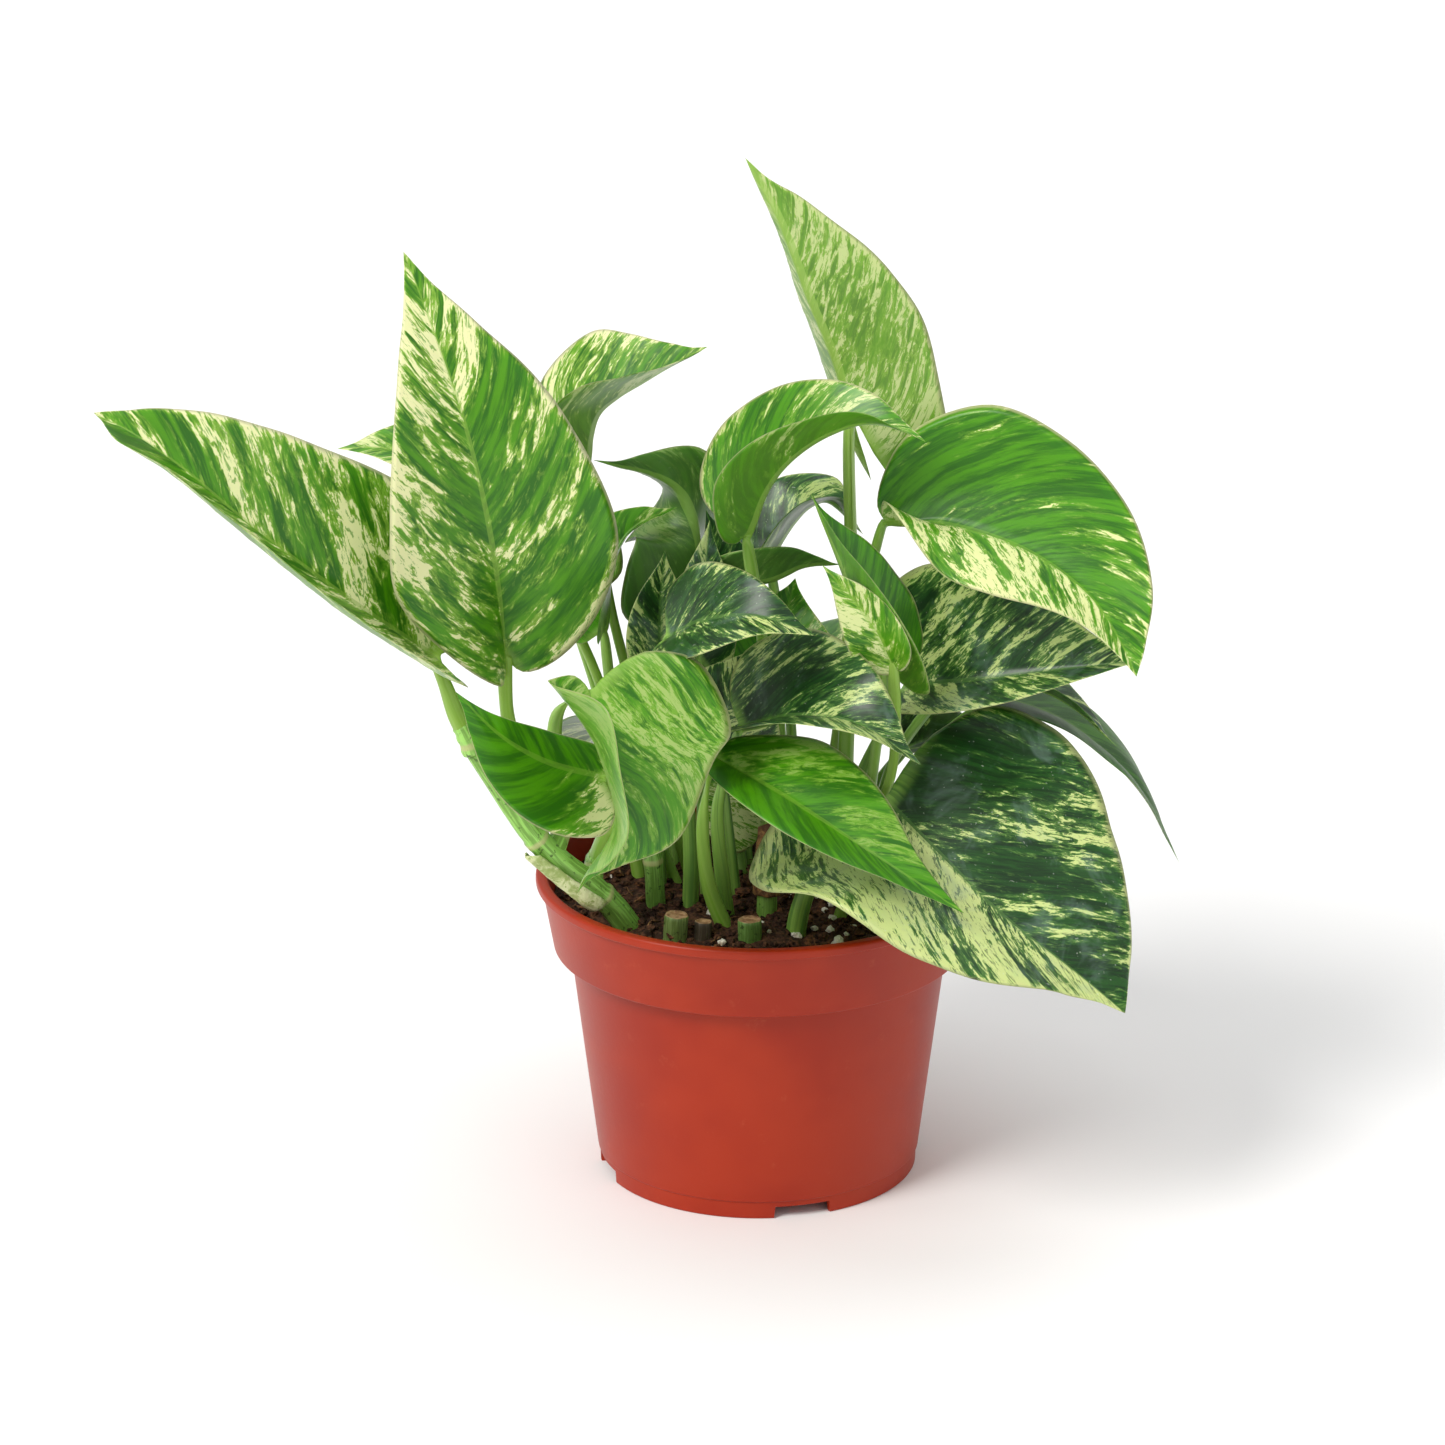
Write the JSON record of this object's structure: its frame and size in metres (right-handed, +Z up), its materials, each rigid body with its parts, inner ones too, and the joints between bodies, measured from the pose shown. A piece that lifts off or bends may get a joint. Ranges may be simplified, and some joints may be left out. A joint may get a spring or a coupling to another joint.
{
  "type": "potted pothos plant",
  "caption": "Marble-leaved pothos with heart-shaped pointed leaves on green stalks, planted in soil in a round collared plastic nursery pot with a notched foot.",
  "frame": {"origin": "centre of the bounding box in plan, at the ground the pot stands on", "axes": "+Z up along the pot's axis, -Y towards the plant's front, +X to the right of someone facing that front; the pot's axis stands 26.5 mm to +X and 2.4 mm to +Y of the origin"},
  "size_m": [0.259, 0.1824, 0.255],
  "materials": {
    "terracotta_plastic": "satin",
    "potting_mix": "matte",
    "perlite": "matte",
    "leaf_young": "satin",
    "leaf_marbled": "satin",
    "leaf_old": "satin",
    "leaf_shaded": "satin",
    "green_stem": "satin",
    "cut_stem": "matte",
    "sheath": "matte"
  },
  "bodies": {
    "root": {"pot": "terracotta_plastic", "soil": "potting_mix", "leaf_far_left": "leaf_marbled", "leaf_big_left": "leaf_marbled", "leaf_left_behind": "leaf_shaded", "leaf_upper_middle": "leaf_marbled", "leaf_back_dull": "leaf_shaded", "leaf_narrow_folded": "leaf_young", "leaf_dark_upright": "leaf_old", "leaf_upper_centre": "leaf_young", "leaf_tall_right": "leaf_marbled", "leaf_round_right": "leaf_young", "leaf_dark_right": "leaf_old", "leaf_large_front_right": "leaf_old", "leaf_edge_on_right": "leaf_old", "leaf_drooping_right": "leaf_shaded", "leaf_dark_centre": "leaf_old", "leaf_dark_left": "leaf_old", "leaf_shaded_centre": "leaf_young", "leaf_small_tip": "leaf_old", "leaf_underside_centre": "leaf_shaded", "leaf_shaded_back": "leaf_shaded", "leaf_twisted": "leaf_young", "leaf_pale_front": "leaf_marbled", "leaf_bright_front": "leaf_young", "leaf_round_front_left": "leaf_young", "leaf_pointed_front_left": "leaf_marbled", "leaf_mottled_low": "leaf_marbled", "leaf_dark_inner": "leaf_old", "leaf_mottled_inner": "leaf_old", "leaf_back_left": "leaf_old", "leaf_back_middle": "leaf_young", "leaf_back_right": "leaf_marbled", "leaf_back_upper_left": "leaf_young", "leaf_back_low_right": "leaf_old", "vine_left": "green_stem", "stem_node_left": "green_stem", "stem_sheathed": "green_stem", "stub_front_left": "cut_stem", "stub_front_middle": "cut_stem", "stub_front_dark": "cut_stem", "stub_back": "cut_stem", "perlite_left": "perlite", "perlite_middle": "perlite", "perlite_right": "perlite", "perlite_back": "perlite", "sheath_left": "sheath", "sheath_brown": "sheath"}
  },
  "joints": []
}
